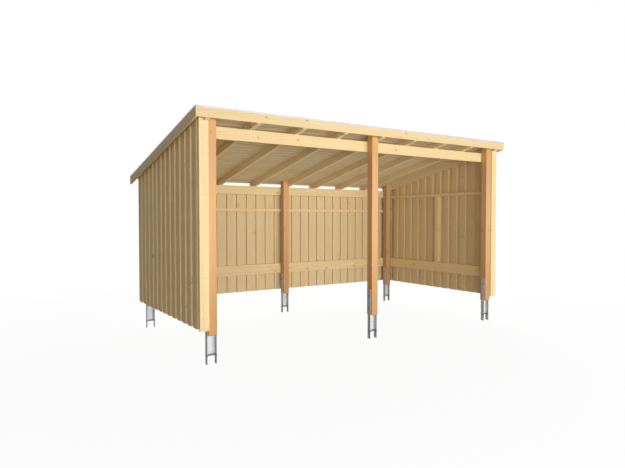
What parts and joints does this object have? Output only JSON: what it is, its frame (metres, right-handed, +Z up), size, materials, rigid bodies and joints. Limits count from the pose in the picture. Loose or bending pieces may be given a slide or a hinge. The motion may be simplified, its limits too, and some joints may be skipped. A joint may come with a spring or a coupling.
{
  "type": "open-front garden shed",
  "caption": "Open-front timber garden shed: posts on steel ground anchors, overlapping vertical board walls on rails, and a board roof on rafters that falls to the rear.",
  "frame": {"origin": "under the middle of the roof, level with the feet of the ground anchors", "axes": "+X to the right along the front, +Y to the rear wall, +Z up; the open front faces -Y"},
  "size_m": [4.385, 2.367, 2.4408],
  "materials": {
    "post_timber": "planed, warm brown",
    "frame_timber": "planed, pale",
    "wall_boards": "planed, pale",
    "roof_boards": "planed, pale",
    "edge_boards": "planed, cream",
    "galvanised_steel": "hot-dip galvanised, dull",
    "roof_felt": "bitumen felt with mineral grains",
    "edge_trim": "plain mill"
  },
  "bodies": {
    "root": {"front_left_post": "post_timber", "front_left_anchor": "galvanised_steel", "front_middle_post": "post_timber", "front_middle_anchor": "galvanised_steel", "front_right_post": "post_timber", "front_right_anchor": "galvanised_steel", "rear_left_post": "post_timber", "rear_left_anchor": "galvanised_steel", "rear_middle_post": "post_timber", "rear_middle_anchor": "galvanised_steel", "rear_right_post": "post_timber", "rear_right_anchor": "galvanised_steel", "front_beam": "frame_timber", "rear_top_rail": "frame_timber", "rear_thin_rail": "frame_timber", "rear_lower_rail": "frame_timber", "left_lower_rail": "frame_timber", "left_thin_rail": "frame_timber", "left_stud": "frame_timber", "left_end_rafter": "frame_timber", "left_wall_boards": "wall_boards", "left_corner_board": "edge_boards", "left_barge_board": "edge_boards", "right_lower_rail": "frame_timber", "right_thin_rail": "frame_timber", "right_stud": "frame_timber", "right_end_rafter": "frame_timber", "right_wall_boards": "wall_boards", "right_corner_board": "edge_boards", "right_barge_board": "edge_boards", "rafter_1": "frame_timber", "rafter_2": "frame_timber", "rafter_3": "frame_timber", "rafter_4": "frame_timber", "rafter_5": "frame_timber", "rafter_6": "frame_timber", "rafter_7": "frame_timber", "rear_wall_boards": "wall_boards", "front_fascia": "edge_boards", "roof_deck": "roof_boards", "roof_felt": "roof_felt", "roof_edge_trim": "edge_trim", "eave_trim": "edge_trim"}
  },
  "joints": []
}
